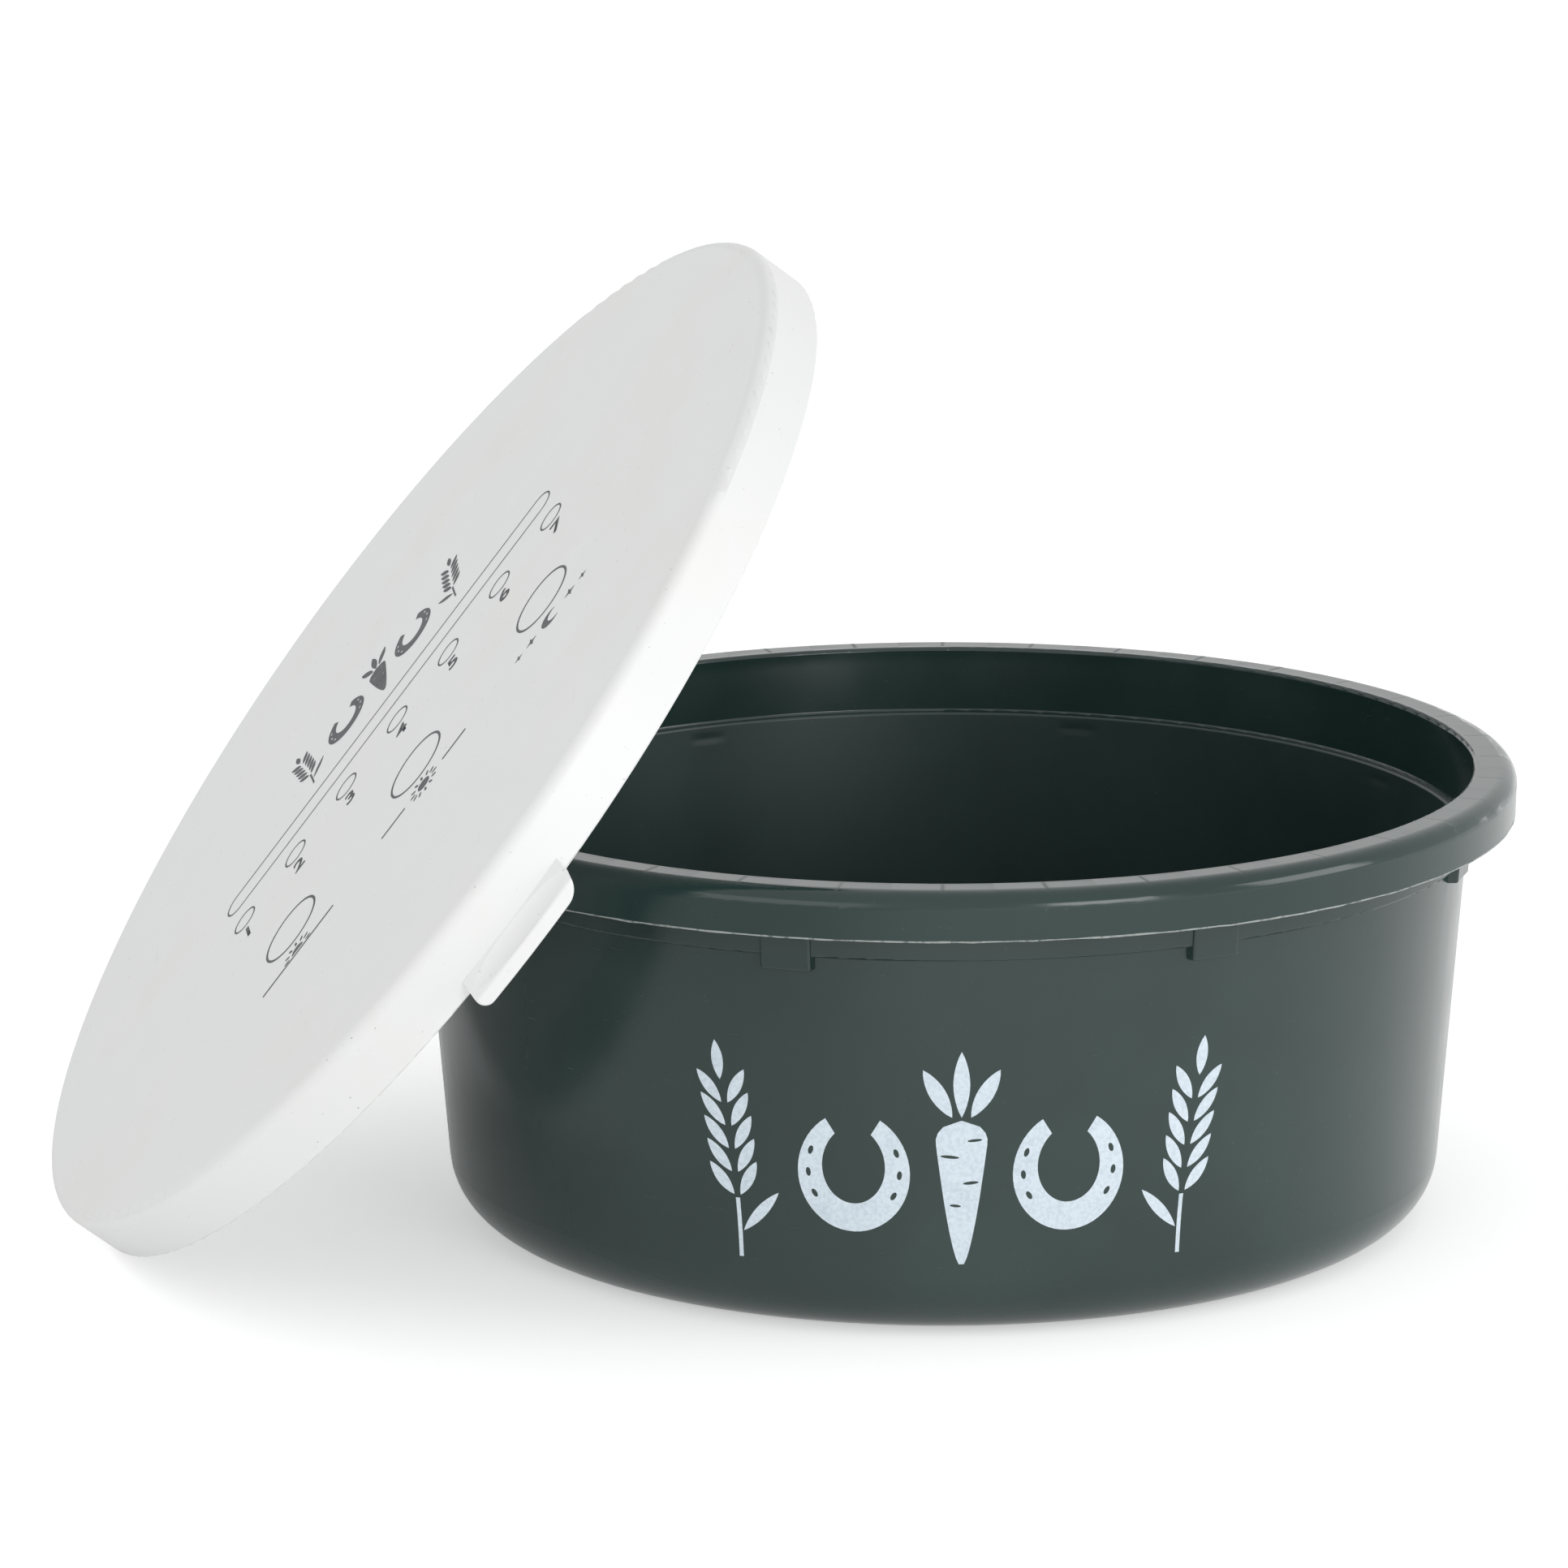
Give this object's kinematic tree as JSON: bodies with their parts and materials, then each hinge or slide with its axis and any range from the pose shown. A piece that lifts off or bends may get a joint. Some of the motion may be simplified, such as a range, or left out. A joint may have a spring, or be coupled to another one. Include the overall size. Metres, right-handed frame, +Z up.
{
  "type": "horse feed bowl",
  "caption": "Round tapered plastic feed bowl for a horse, with a hollow stiffened rim, stacking lugs below a step, and a press-on lid that leans on the rim, its lower edge on the ground.",
  "frame": {"origin": "middle of the bowl's underside, on the ground", "axes": "+Z up along the bowl's axis; the bowl's printed side faces -Y; the lid leans on the rim on the -X side"},
  "size_m": [0.4531, 0.3718, 0.2954],
  "materials": {
    "bowl_plastic": "dark green satin moulding with faint sink marks and scuffs",
    "lid_plastic": "white satin moulding with dark grey print"
  },
  "bodies": {
    "bowl": {"bowl": "bowl_plastic"},
    "lid": {"lid": "lid_plastic"}
  },
  "joints": [
    {"name": "lid_lift", "type": "slide", "parent": "bowl", "child": "lid", "axis": [0, 0, 1], "range_m": [0, 0.16]}
  ]
}
